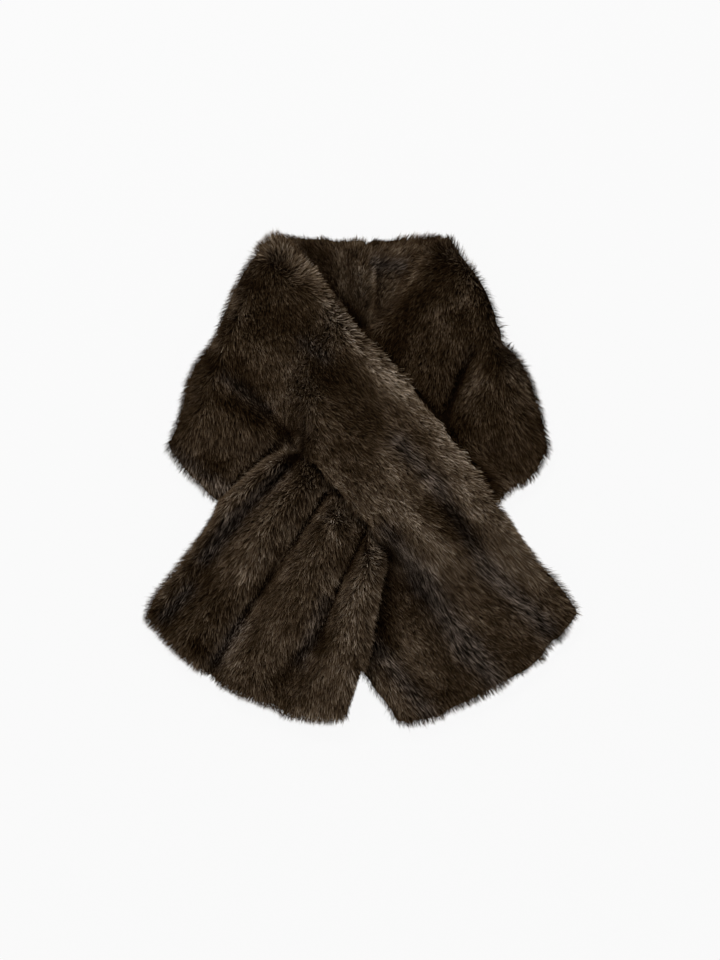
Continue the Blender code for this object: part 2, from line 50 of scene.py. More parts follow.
# One entry for each panel: its cut from the strip (m), how it lies, its hairs and its tone (stops), which
# is the fur's own tone together with painted shade over the whole panel. Most rows are a stroke in plan,
# x0, y0, x1, y1, its width (mm), and one value. For fullEdges the value is the share of the inset that is
# left out, for valleys how deep they are (mm), for the shade strokes how many stops lighter the fur is,
# which is painted light and shade together with the fur's own lighter and darker places, for greys how grey
# it is (0 to 1), which is painted sheen drawn as silver hairs where glossy fur lies flat, for trims the
# share of its length that the pile loses, and for upright how much it stands up. combing rows are x, y
# (mm), the way the pile points there (degrees,
# 0 is +X) and how far the row reaches (mm).
panels = {
    "back_left": {
        "cut": (0.238, 0.125), "lies": "laid", "on": ["floor"],
        "fullEdges": (centreSeam, neckEdge, (-80, 266, -45, 266, 8, 1.3)),
        "coats": {"fur": {"hairs": 22000, "seed": 11}},
        "trims": ((2, 267, 3, 272, 6, -0.5),),
        "valleys": (
            (-9, 242, -8, 188, 4.4, 5), (4, 232, 4, 200, 5, -3),
        ),
        "toneAndShade": -1.09,
        "paintedLightAndTone": (
            (-78, 256, -49, 226, 8, 0.3), (-49, 226, -19, 188, 8, -2.4), (-19, 188, 2, 162, 8, -1.8),
            (-28, 252, -20, 197, 6, 0.9), (-10, 239, -9, 190, 4, 2.3), (2, 230, 6, 204, 6, 1.5),
            (-71, 265, -3, 263, 6, 0.8), (-56, 250, -41, 239, 7, -1.4), (-3, 197, 2, 177, 6, 0.9),
            (-2, 230, 2, 201, 4, 2.3), (-13, 245, -12, 197, 4, -0.9), (-21, 245, -21, 197, 6, 1.4),
            (-53, 245, -31, 215, 9, -0.6),
        ),
        "greySheens": (
            (-71, 243, -56, 210, 8, 0.7),
        ),
        "combing": (
            (-70, 262, 125, 12), (-40, 262, 105, 12), (-14, 262, 75, 10), (0, 262, 45, 8),
            (-50, 235, 112, 14), (-20, 225, 96, 14), (0, 235, 50, 9), (-15, 200, 88, 14),
            (3, 212, 40, 9), (3, 190, 50, 9),
        ),
    },
    "back_right": {
        "cut": (0.238, 0.12), "lies": "laid", "on": ["floor"],
        "fullEdges": (centreSeam, neckEdge),
        "coats": {"fur": {"hairs": 22000, "seed": 12}},
        "trims": ((2, 267, 3, 272, 6, -0.5),),
        "valleys": (
            (14, 228, 14, 184, 4, 5),
        ),
        "toneAndShade": -0.24,
        "paintedLightAndTone": (
            (8, 228, 6, 204, 6, 1.8), (15, 228, 15, 188, 4, -1.3), (10, 261, 85, 263, 7, -1.7),
            (8, 239, 50, 243, 8, -0.7), (13, 184, 24, 177, 6, -1.5), (21, 239, 43, 223, 8, -1.3),
        ),
        "greySheens": (
            (10, 236, 50, 232, 9, 0.9),
        ),
        "combing": (
            (8, 262, 42, 8), (8, 240, 30, 9), (8, 215, 30, 9), (8, 190, 40, 9), (26, 262, 50, 10),
            (40, 263, 50, 10), (68, 264, 50, 10), (20, 250, 30, 12), (50, 248, 25, 12), (30, 234, 6, 14),
            (25, 215, 20, 12),
        ),
    },
    "front_under": {
        "cut": (0.238, 0.27), "lies": "folded", "on": ["back_right_pelt"],
        "fullEdges": (
            slitSeam, (98, 265, 118, 235, 9, 0.65), (118, 235, 150, 165, 9, 0.75),
            (168, 132, 192, 90, 9, 0.5), (195, 75, 208, 25, 9, 0.66), (192, 15, 180, -5, 8, 0.45),
        ),
        "coats": {"fur": {"hairs": 58000, "seed": 13}},
        "valleys": (
            (14, 150, 100, 52, 7, 9), (123, 140, 109, 118, 5.5, 6), (109, 118, 92, 64, 6, 9),
            (125, 208, 109, 184, 13.2, 3), (30, 150, 85, 246, 7, -2),
        ),
        "toneAndShade": -1.9,
        "paintedLightAndTone": (
            (79, 173, 101, 155, 14, 1), (32, 177, 54, 166, 12, -0.3), (6, 157, 41, 118, 8, -3),
            (91, 56, 129, 6, 9, -1), (129, 6, 182, -65, 9, -2.4), (109, 118, 90, 65, 8, -2),
            (63, 122, 90, 109, 14, 0.5), (123, 109, 109, 74, 13, 1.9), (116, 78, 129, 43, 14, 0.6),
            (124, 208, 108, 184, 15, 1.4), (85, 69, 92, 56, 6, 2.3), (140, -23, 189, 6, 11, 0.9),
            (157, 164, 168, 120, 13, 1.4), (74, 230, 91, 208, 15, 0.5), (109, 252, 129, 224, 13, 2.3),
            (151, 65, 173, 54, 15, 0.3), (35, 151, 92, 228, 10, -1.2), (47, 197, 69, 173, 10, -0.8),
            (107, 70, 120, 56, 7, -2.2), (134, 45, 151, 30, 10, -0.5), (175, 114, 186, 81, 8, 1),
            (107, 177, 120, 147, 9, -1.2), (85, 267, 102, 252, 9, 1.2), (8, 160, 37, 199, 6, 2.1),
            (37, 199, 72, 250, 6, 1.7), (142, 100, 160, 78, 13, 0.9), (4, 155, 15, 142, 7, 2.3),
        ),
        "greySheens": (
            (118, 142, 98, 89, 7, 0.2),
        ),
        "combing": (
            (92, 262, 80, 26), (70, 225, -150, 30), (120, 190, -120, 40), (160, 120, -112, 40),
            (90, 150, -128, 40), (110, 90, -118, 26), (170, 40, -80, 36), (140, 10, -70, 30),
        ),
    },
    "front_tail": {
        "cut": (0.238, 0.24), "lies": "gathered", "on": ["floor"],
        "fullEdges": (
            slitSeam, (-72, 44, -150, -28, 10, 0.82), (-85, -258, -20, -268, 9, 0.62),
            (-236, -133, -238, -160, 9, 0.6),
        ),
        "coats": {"fur": {"hairs": 64000, "seed": 14}},
        "upright": ((-70, 40, 18, -62, 16, 1.3),),
        "trims": ((-224, -188, -124, -250, 12, 0.14), (-2, -215, -10, -250, 9, 0.7)),
        "valleys": (
            (-82, 38, -140, -14, 9, -6), (-67, 30, -98, -3, 5.5, 8), (-98, -3, -153, -65, 8.8, 4),
            (-153, -65, -205, -146, 9.9, 4), (-40, -14, -73, -69, 5.5, 9), (-73, -69, -98, -103, 5.5, 4),
            (-98, -103, -128, -145, 5.5, 9), (-128, -145, -163, -204, 8.8, 7), (2, -58, -25, -117, 5.5, 8),
            (-25, -117, -45, -170, 5.5, 7), (-45, -170, -69, -194, 8.8, 7), (-69, -194, -95, -221, 11, 4),
        ),
        "toneAndShade": -0.61,
        "paintedLightAndTone": (
            (-80, 42, -155, -29, 9, 1.3), (-173, -53, -228, -130, 10, 0.6), (-67, 30, -112, -13, 7, -2.1),
            (-112, -13, -170, -84, 9, -1.3), (-170, -84, -210, -147, 10, -0.6),
            (-80, -1, -135, -73, 13, 0.4), (-131, -100, -130, -109, 7, 1.9),
            (-179, -133, -142, -155, 15, -1.1), (-40, -14, -73, -69, 7, 1.1),
            (-73, -69, -128, -145, 7, 2.3), (-128, -145, -163, -204, 8, -0.6),
            (-45, -25, -81, -78, 9, -0.5), (-81, -78, -127, -144, 9, -3),
            (-127, -144, -148, -190, 10, 2.1), (-20, -92, -38, -142, 8, -1.6),
            (-38, -142, -51, -185, 9, -2.6), (-19, -52, -1, -65, 8, -1.4), (2, -67, -23, -100, 6, -1.2),
            (-23, -100, -38, -154, 7, 1.9), (-38, -154, -63, -199, 8, 2.1),
            (-71, -199, -95, -228, 10, -0.8), (13, -63, -1, -117, 10, 1.5), (-1, -117, -20, -178, 12, 0.8),
            (-20, -178, -32, -237, 13, 0.6), (23, -89, 8, -188, 6, -0.2),
            (-226, -146, -212, -161, 10, -1.6), (-58, -45, -36, -73, 11, -0.2),
            (-135, -227, -107, -232, 13, 0.2), (-177, -106, -163, -124, 10, -1.2),
            (-212, -111, -195, -133, 7, -0.8), (-179, -144, -159, -155, 9, 0.3),
            (-183, -183, -163, -195, 9, -2.7), (-56, -73, -42, -89, 8, -0.2), (-18, -208, -7, -232, 6, 2),
            (-69, -256, -23, -261, 7, 0.9), (-79, 38, -111, 10, 7, 1.4), (-162, -67, -155, -80, 8, 0.3),
            (-122, -67, -111, -85, 10, 1), (-106, -89, -91, -113, 9, 0.3), (-75, 43, -89, 32, 4, 1.8),
            (-51, -32, -31, -56, 10, 1.9), (-137, -166, -122, -138, 6, 2.3), (-91, -106, -75, -76, 7, 1.7),
            (-27, -32, -9, -56, 7, 1.5), (-73, -69, -98, -103, 6, -1), (-115, -106, -100, -135, 10, 0.3),
            (-27, -106, -18, -146, 9, 2.1), (-69, -23, -56, -36, 8, -1.1),
            (-161, -194, -146, -208, 9, 1.4),
        ),
        "greySheens": (
            (-85, 12, -142, -47, 8, 0.7), (-142, -47, -172, -86, 10, 0.9),
            (-190, -122, -217, -151, 8, 0.9), (-135, -161, -161, -201, 8, 0.7),
            (-41, -133, -69, -201, 8, 0.6),
        ),
        "combing": (
            (-90, 25, -150, 26), (-74, 36, 48, 7), (-50, -5, -128, 26), (-20, -40, -118, 26),
            (15, -80, -105, 24), (-155, -55, -140, 34), (-100, -85, -125, 34), (-45, -115, -114, 34),
            (8, -140, -98, 30), (-215, -130, -146, 34), (-155, -185, -122, 38), (-80, -225, -110, 38),
            (-20, -245, -98, 34),
        ),
    },
    "front_over": {
        "cut": (0.238, 0.51), "lies": "folded", "on": ["back_left_pelt", "front_under_pelt"],
        "fullEdges": (
            slitLips, (165, -45, 200, -92, 9, 0.3), (205, -100, 228, -132, 9, 0.9),
            (170, -208, 217, -188, 9, 0.9), (-214, 59, -214, 32, 9, 0.57), (-110, 262, -95, 270, 9, 0.6),
            (-157, 180, -190, 112, 9, 0.12), (-170, -12, -157, -29, 9, 0.49), (38, -262, 85, -258, 9, 0.7),
            (100, -245, 170, -212, 9, 0.55), (215, -172, 236, -146, 8, 0.75), (-206, 22, -190, 4, 8, 0.45),
            (178, -208, 196, -200, 7, 1.2), (14, -232, 28, -250, 7, 0.3), (-88, 268, -50, 231, 8, 0.5),
            (6, 157, 33, 127, 8, 0.3), (40, 119, 88, 60, 8, 0.9), (88, 60, 112, 31, 8, 0.35),
            (112, 31, 128, 14, 8, 0.15), (192, -84, 206, -101, 8, 0.3),
        ),
        "trims": (
            (-88, 270, -50, 233, 8, 0.3), (-44, 226, 4, 160, 8, 0.8), (12, 152, 38, 124, 8, 0.36),
            (42, 119, 86, 63, 8, 0.18), (92, 56, 108, 36, 8, 0.25), (110, 34, 142, -8, 8, 0.4),
            (208, -104, 234, -140, 8, -0.2),
        ),
        "coats": {
            "fur": {"hairs": 64000, "seed": 15},
            "top_fur": {"hairs": 64000, "seed": 16},
        },
        "valleys": (
            (-86, 52, -150, -14, 8, 6), (-136, 110, -111, 81, 8.8, 4), (-111, 81, -79, 46, 6, 10),
            (69, -18, 96, -40, 9.9, 5), (96, -40, 123, -65, 11, 6), (-111, 216, -117, 175, 17.6, 4),
            (-47, 106, -3, 68, 15.4, 3),
        ),
        "toneAndShade": -1.04,
        "paintedLightAndTone": (
            (-95, 263, -53, 221, 9, 1.6), (-53, 221, -8, 160, 9, 2.1), (25, 122, 73, 65, 10, 2.1),
            (73, 65, 120, 8, 10, 1.4), (120, 8, 171, -73, 10, 1.5), (171, -73, 228, -146, 9, 1.4),
            (-111, 216, -108, 180, 20, -0.6), (-135, 243, -111, 239, 18, 1.3),
            (-51, 110, -1, 66, 20, -0.7), (14, 132, 36, 102, 15, 2.1), (-23, 15, 21, -36, 22, 1.3),
            (76, -29, 120, -65, 13, -1.3), (46, -40, 69, -89, 22, 2.3), (138, -54, 160, -102, 14, 0.9),
            (35, -128, 59, -161, 15, -0.4), (58, -221, 98, -234, 15, -0.8),
            (151, -170, 182, -190, 15, -0.3), (10, -205, 24, -249, 9, 1), (30, -73, 19, -155, 9, -1.3),
            (-32, 179, -5, 140, 4, 2.3), (-69, 134, -91, 81, 13, 1.1), (-170, 134, -129, 100, 10, -1.4),
            (-129, 100, -83, 51, 11, -1.1), (-155, 87, -150, 85, 11, -1.4), (-217, 48, -201, 21, 15, -0.4),
            (-179, 158, -162, 147, 15, 1.6), (37, 54, 63, 10, 15, 0.4), (-69, 197, -49, 164, 15, -0.8),
            (85, -89, 98, -100, 15, 1.5), (-95, 61, -78, 47, 7, 1.5), (-1, 78, 17, 61, 10, -0.4),
            (201, -133, 217, -161, 13, 0.2), (-36, 65, -25, 43, 15, 0.4), (91, -144, 118, -155, 13, 0.5),
            (217, -146, 230, -146, 9, -0.5), (-69, 92, -45, 43, 13, 0.8), (-85, 224, -58, 197, 11, 0.3),
            (-85, 175, -74, 140, 13, -1), (-45, 169, -36, 147, 9, 2.3), (-36, 131, -12, 100, 12, -1.5),
            (-144, 136, -135, 118, 10, -1.4), (-135, 81, -117, 65, 10, -2), (-102, 87, -91, 67, 8, 2.1),
            (-173, -7, -146, -12, 8, 1.5), (-173, 21, -155, 12, 9, -1.1), (109, -12, 131, -56, 12, 2),
            (21, 26, 36, 4, 11, 1.6), (-25, 32, -7, 4, 10, -0.7), (-30, -1, 10, -45, 8, 1.5),
            (17, -47, 36, -58, 8, -3), (28, -69, 43, -85, 8, 1), (47, -117, 63, -133, 10, -1.4),
            (54, -166, 68, -188, 10, 1.1), (63, -208, 81, -223, 9, 2.3), (91, -102, 109, -113, 9, -0.4),
            (168, -84, 190, -117, 9, 1.8), (204, -166, 219, -177, 8, -1.8),
            (-144, 213, -137, 180, 10, 2.1), (-49, 151, -36, 129, 9, 0.7), (38, -133, 39, -177, 9, -0.9),
            (-69, 239, -56, 219, 7, 1.3), (-86, 33, -73, 45, 4, 2.3), (-93, 56, -79, 50, 4, -3),
            (-135, 201, -128, 190, 11, 1.6), (27, -122, 25, -177, 6, -1), (58, 89, 85, 52, 9, 2.3),
            (81, 32, 105, -6, 10, 1.7), (32, -232, 41, -256, 8, 1.5), (50, -67, 72, -80, 10, -0.3),
            (43, -166, 54, -188, 8, 2.1), (32, 47, 43, 34, 9, -1), (70, -10, 79, -23, 9, 2),
            (68, 91, 79, 67, 7, 2.2), (123, -129, 136, -146, 9, 0.4), (52, 100, 72, 67, 9, 1.2),
            (96, 48, 109, 32, 10, 2.1), (-40, 188, -27, 173, 10, 2.1), (-71, 118, -56, 89, 11, 2.3),
            (-40, 208, -27, 197, 9, -1.5), (19, -111, 24, -183, 8, -2), (10, -32, 26, -47, 8, 2.3),
        ),
        "greySheens": (
            (37, 43, 82, -6, 10, 0.8), (82, -6, 137, -99, 9, 0.7), (137, -99, 202, -164, 12, 0.9),
            (25, -56, 65, -112, 11, 0.8), (65, -112, 114, -184, 15, 0.9), (114, -184, 142, -216, 14, 0.9),
            (17, -186, 72, -258, 10, 0.8), (-65, 152, -42, 134, 8, 0.7), (-152, 114, -104, 76, 7, 0.6),
            (-210, 32, -150, -14, 9, 0.6),
        ),
        "combing": (
            (-90, 262, 115, 20), (-76, 247, 60, 15), (-60, 230, 5, 14), (-110, 215, -100, 34),
            (-150, 150, -118, 36), (-190, 70, -122, 36), (-150, 50, -100, 34), (-100, 110, -70, 32),
            (-50, 205, -62, 34), (0, 120, -56, 34), (-60, 60, -60, 30), (60, 40, -52, 34),
            (-20, 0, -54, 34), (100, -20, -52, 34), (40, -60, -54, 34), (120, -95, -55, 34),
            (190, -130, -50, 34), (60, -160, -64, 36), (120, -200, -60, 36), (30, -245, -72, 30),
            (10, -150, -84, 20),
        ),
    },
}

# The pile, by coat. Sizes are in metres, angles in degrees and the rest are shares.
pileValues = {
    "length": 0.0128, "width": 0.00056, "lean": 22.0, "rimLean": 26.0, "greyLean": 16.0, "bend": 0.20,
    "clump": 0.0017, "gather": 0.30, "ruffle": 0.18, "lockRuffle": 0.42, "swirl": 0.70, "lockShine": 0.30,
}
coats = {"fur": pileValues, "top_fur": {**pileValues, "length": 0.0132, "lean": 24.0}}


def addNode(tree, kind, inputs=None, output=0, **settings):
    node = tree.nodes.new(kind)
    for name, value in settings.items():
        setattr(node, name, value)
    for key, value in (inputs or {}).items():
        if isinstance(value, bpy.types.NodeSocket):
            tree.links.new(value, node.inputs[key])
        else:
            node.inputs[key].default_value = value
    return node.outputs[output]


def maths(tree, operation, *values):
    return addNode(tree, "ShaderNodeMath", dict(enumerate(values)), operation=operation)


def vectorMaths(tree, operation, *values):
    return addNode(tree, "ShaderNodeVectorMath", dict(enumerate(values)), operation=operation)


def scaled(tree, vector, by):
    return addNode(tree, "ShaderNodeVectorMath", {0: vector, "Scale": by}, operation="SCALE")


def mappedTo(tree, value, fromRange, toRange):
    ends = dict(enumerate((value, *fromRange, *toRange)))
    return addNode(tree, "ShaderNodeMapRange", ends)


def randomBetween(tree, low, high, seed):
    inputs = {2: low, 3: high, "Seed": seed}
    return addNode(tree, "FunctionNodeRandomValue", inputs, output=1, data_type="FLOAT")


def named(tree, name, kind="FLOAT"):
    return addNode(tree, "GeometryNodeInputNamedAttribute", {"Name": name}, data_type=kind)


def storeOn(tree, geometry, name, value, kind="FLOAT"):
    inputs = {"Geometry": geometry, "Name": name, "Value": value}
    return addNode(tree, "GeometryNodeStoreNamedAttribute", inputs, data_type=kind, domain="POINT")


# What the hairs of all coats share. Sizes are in metres.
hairShape = {
    "mergeWithin": 0.0001,
    "swirls": 28.0,  # in a metre
    "greySleek": 0.6,  # share of its ruffle that grey fur loses
    "guardHairs": (0.80, 0.9),  # tints between which under fur turns into guard hairs
    "guardLengths": (0.92, 1.15),  # share of the length, for under fur and for guard hairs
    "lockLengths": (0.80, 1.08),  # for the shortest and the longest locks
    "widths": (0.6, 1.2),  # narrowest and widest
    "twist": 0.7,  # radians either way
    "leastTip": 0.0008,  # height of a tip above the surface that the wrap lies on
    "leastHeight": 0.0004,
    "cellAcross": (0.15, 0.7),  # start and size of a hair in its cell of the map
    "cellAlong": (0.1, 0.8),
}
verticesPerHair = 5


# One hair: a flat blade of a quad and a tip, one unit long, bent towards +Y
def hairBlade(tree, bend):
    sizes = {"Size X": 1.0, "Size Y": 1.0, "Vertices X": 2, "Vertices Y": 3}
    grid = addNode(tree, "GeometryNodeMeshGrid", sizes)
    place = addNode(tree, "GeometryNodeInputPosition")
    across = addNode(tree, "ShaderNodeSeparateXYZ", {0: place}, output=0)
    upright = addNode(tree, "ShaderNodeSeparateXYZ", {0: place}, output=1)
    along = maths(tree, "ADD", upright, 0.5)
    grid = storeOn(tree, grid, "along", along)
    grid = storeOn(tree, grid, "side", maths(tree, "ADD", across, 0.5))
    along = named(tree, "along")
    squared = maths(tree, "MULTIPLY", along, along)
    taper = maths(tree, "SUBTRACT", 1.0, squared)
    place = addNode(tree, "ShaderNodeCombineXYZ", {
        0: maths(tree, "MULTIPLY", across, taper), 1: maths(tree, "MULTIPLY", squared, bend), 2: along,
    })
    blade = addNode(tree, "GeometryNodeSetPosition", {"Geometry": grid, "Position": place})
    return addNode(tree, "GeometryNodeMergeByDistance", {
        "Geometry": blade, "Distance": hairShape["mergeWithin"],
    })


# The coat value behind each of the pile's inputs
pileInputs = {
    "Length": "length", "Width": "width", "Lean": "lean", "Rim lean": "rimLean", "Grey lean": "greyLean",
    "Bend": "bend", "Clump": "clump", "Gather": "gather", "Ruffle": "ruffle", "Lock ruffle": "lockRuffle",
    "Swirl": "swirl", "Lock shine": "lockShine",
}


def makePileTree():
    tree = bpy.data.node_groups.new("furPile", "GeometryNodeTree")
    tree.interface.new_socket("Pelt", in_out="INPUT", socket_type="NodeSocketGeometry")
    for name in ("Hairs per m2", *pileInputs):
        tree.interface.new_socket(name, in_out="INPUT", socket_type="NodeSocketFloat")
    tree.interface.new_socket("Seed", in_out="INPUT", socket_type="NodeSocketInt")
    tree.interface.new_socket("Fur", in_out="INPUT", socket_type="NodeSocketMaterial")
    tree.interface.new_socket("Pile", in_out="OUTPUT", socket_type="NodeSocketGeometry")
    given = tree.nodes.new("NodeGroupInput").outputs
    seed = given["Seed"]

    density = maths(tree, "MULTIPLY", given["Hairs per m2"], named(tree, "cover"))
    spread = tree.nodes.new("GeometryNodeDistributePointsOnFaces")
    tree.links.new(given["Pelt"], spread.inputs["Mesh"])
    tree.links.new(density, spread.inputs["Density"])
    tree.links.new(seed, spread.inputs["Seed"])
    tint = randomBetween(tree, 0.0, 1.0, seed)
    points = storeOn(tree, spread.outputs["Points"], "tint", tint)
    root = addNode(tree, "GeometryNodeInputPosition")
    locks = addNode(tree, "ShaderNodeTexVoronoi", {
        "Vector": root, "Scale": maths(tree, "DIVIDE", 1.0, given["Clump"]),
    }).node
    lockColour = locks.outputs[1]
    lock = addNode(tree, "ShaderNodeSeparateXYZ", {0: lockColour}, output=0)
    points = storeOn(tree, points, "lock", lock)

    # Each hair points up from the pelt and leans the way it is combed, with swirls and stray hairs
    combed = named(tree, "combing", "FLOAT_VECTOR")
    unevenness = {"Vector": root, "Scale": hairShape["swirls"], "Detail": 2.0}
    swirls = addNode(tree, "ShaderNodeTexNoise", unevenness, output=1)
    swirls = vectorMaths(tree, "SUBTRACT", swirls, (0.5, 0.5, 0.5))
    swirls = scaled(tree, swirls, given["Swirl"])
    lean = maths(tree, "MULTIPLY", named(tree, "rim"), given["Rim lean"])
    lean = maths(tree, "MULTIPLY_ADD", named(tree, "greySheen"), given["Grey lean"], lean)
    lean = maths(tree, "RADIANS", maths(tree, "ADD", given["Lean"], lean))
    up = scaled(tree, named(tree, "growth", "FLOAT_VECTOR"), maths(tree, "COSINE", lean))
    over = scaled(tree, vectorMaths(tree, "ADD", combed, swirls), maths(tree, "SINE", lean))
    stray = {0: (-1, -1, -1), 1: (1, 1, 1), "Seed": seed}
    stray = addNode(tree, "FunctionNodeRandomValue", stray, data_type="FLOAT_VECTOR")
    sleek = maths(tree, "MULTIPLY_ADD", named(tree, "greySheen"), -hairShape["greySleek"], 1.0)
    stray = scaled(tree, stray, maths(tree, "MULTIPLY", given["Ruffle"], sleek))
    lockWay = vectorMaths(tree, "SUBTRACT", lockColour, (0.5, 0.5, 0.5))
    stray = vectorMaths(tree, "ADD", stray, scaled(tree, lockWay, given["Lock ruffle"]))
    way = vectorMaths(tree, "ADD", vectorMaths(tree, "ADD", up, over), stray)
    way = vectorMaths(tree, "NORMALIZE", way)

    # The pile shines as one soft surface, a little different for each lock and each hair
    surface = named(tree, "surface", "FLOAT_VECTOR")
    shine = vectorMaths(tree, "ADD", surface, scaled(tree, lockWay, given["Lock shine"]))
    shine = vectorMaths(tree, "ADD", shine, stray)
    points = storeOn(tree, points, "lie", vectorMaths(tree, "NORMALIZE", shine), "FLOAT_VECTOR")

    # Neighbouring hairs gather towards the middle of their lock
    pull = vectorMaths(tree, "SUBTRACT", locks.outputs[2], root)
    pull = scaled(tree, pull, given["Gather"])
    # The lightest hairs are guard hairs, which stand out above the rest
    length = mappedTo(tree, tint, hairShape["guardHairs"], hairShape["guardLengths"])
    length = maths(tree, "MULTIPLY", given["Length"], length)
    lockLength = addNode(tree, "ShaderNodeSeparateXYZ", {0: lockColour}, output=2)
    lockLength = mappedTo(tree, lockLength, (0.0, 1.0), hairShape["lockLengths"])
    length = maths(tree, "MULTIPLY", length, lockLength)
    length = maths(tree, "MULTIPLY", length, named(tree, "loft"))
    reach = vectorMaths(tree, "ADD", scaled(tree, way, length), pull)

    # No hair goes into the surface the wrap lies on
    height = addNode(tree, "ShaderNodeSeparateXYZ", {0: root}, output=2)
    lowest = maths(tree, "SUBTRACT", hairShape["leastTip"], height)
    x, y, z = (addNode(tree, "ShaderNodeSeparateXYZ", {0: reach}, output=k) for k in range(3))
    reach = addNode(tree, "ShaderNodeCombineXYZ", {0: x, 1: y, 2: maths(tree, "MAXIMUM", z, lowest)})
    hairLength = addNode(tree, "ShaderNodeVectorMath", {0: reach}, output=1, operation="LENGTH")

    axes = {"Primary Axis": reach, "Secondary Axis": combed}
    turn = addNode(tree, "FunctionNodeAxesToRotation", axes, primary_axis="Z", secondary_axis="Y")
    angle = randomBetween(tree, -hairShape["twist"], hairShape["twist"], seed)
    twist = addNode(tree, "FunctionNodeAxisAngleToRotation", {"Axis": (0, 0, 1), "Angle": angle})
    turn = addNode(tree, "FunctionNodeRotateRotation", {0: turn, 1: twist}, rotation_space="LOCAL")
    width = maths(tree, "MULTIPLY", given["Width"], randomBetween(tree, *hairShape["widths"], seed))
    sizes = addNode(tree, "ShaderNodeCombineXYZ", {0: width, 1: hairLength, 2: hairLength})
    pile = addNode(tree, "GeometryNodeInstanceOnPoints", {
        "Points": points, "Instance": hairBlade(tree, given["Bend"]), "Rotation": turn, "Scale": sizes,
    })
    pile = addNode(tree, "GeometryNodeRealizeInstances", {"Geometry": pile})
    pile = addNode(tree, "GeometryNodeSetMaterial", {"Geometry": pile, "Material": given["Fur"]})
    tree.links.new(pile, tree.nodes.new("NodeGroupOutput").inputs[0])
    return tree


def placesOf(mesh):
    places = np.empty(len(mesh.vertices) * 3, np.float32)
    mesh.vertices.foreach_get("co", places)
    return places.reshape(-1, 3).astype(float)


def normalsOf(mesh):
    normals = np.empty(len(mesh.vertices) * 3, np.float32)
    mesh.vertex_normals.foreach_get("vector", normals)
    return normals.reshape(-1, 3).astype(float)


def edgesOf(mesh):
    edges = np.empty(len(mesh.edges) * 2, np.int32)
    mesh.edges.foreach_get("vertices", edges)
    return edges.reshape(-1, 2)


# Each value is moved towards the mean of its neighbours', the given number of times
def smoothed(values, edges, times, share=0.5):
    values = values.astype(float)
    count = np.bincount(edges.ravel(), minlength=len(values)).astype(float)
    for _ in range(times):
        total = np.zeros_like(values)
        np.add.at(total, edges[:, 0], values[edges[:, 1]])
        np.add.at(total, edges[:, 1], values[edges[:, 0]])
        mean = total / (count[:, None] if values.ndim > 1 else count)
        values = values + share * (mean - values)
    return values


def plainMesh(thing, name):
    view = bpy.context.evaluated_depsgraph_get()
    mesh = bpy.data.meshes.new_from_object(thing.evaluated_get(view))
    mesh.name = name
    return mesh


def addObject(name, mesh):
    thing = bpy.data.objects.new(name, mesh)
    bpy.context.scene.collection.objects.link(thing)
    return thing


def unit(vectors):
    return vectors / np.maximum(np.linalg.norm(vectors, axis=1, keepdims=True), 1e-9)


# A soft step from 0 at the start to 1 at the end
def ramp(values, start, end):
    share = np.clip((values - start) / (end - start), 0, 1)
    return share * share * (3 - 2 * share)


# How strongly the strokes of one kind mark each place
def strokesAt(places, strokes):
    plan = places[:, :2] / mm
    total, covered = np.zeros(len(plan)), np.zeros(len(plan))
    for x0, y0, x1, y1, width, strength in strokes:
        start, along = np.array((x0, y0)), np.array((x1 - x0, y1 - y0))
        share = np.clip((plan - start) @ along / max(along @ along, 1e-9), 0, 1)
        apart = np.linalg.norm(plan - start - share[:, None] * along, axis=1)
        share = np.exp(-((apart / width) ** 2))
        total += strength * share
        covered += share
    return total / np.maximum(covered, 1)


# A pelt is the backing under the pile: its panel with even faces, drawn inwards and lowered in the valleys
peltShape = {
    "mergeWithin": 0.01 * mm,
    "faceSize": 4.5 * mm,
    "inset": 8.5 * mm,
    "mostOfThickness": 0.38,  # the inset's limit, where a panel is thin
    "sideShare": 0.46,  # of the inset, where the surface is upright
    "sides": (0.7, 0.2),  # how far up the surface faces where sides begin and where they are upright
    "overlap": 3.5 * mm,  # pelts that meet at a seam reach this far into each other
    "ripple": 1.4 * mm,  # soft unevenness of the whole pelt, this deep
    "rippleSize": 34 * mm,
    "deepestValley": 0.35,  # of a panel's thickness
    "rayStart": 0.5 * mm,
    "normalRounds": 2,  # rounds of smoothing
    "insetRounds": 3,
    "peltRounds": 3,
    "valleyRounds": 1,
}


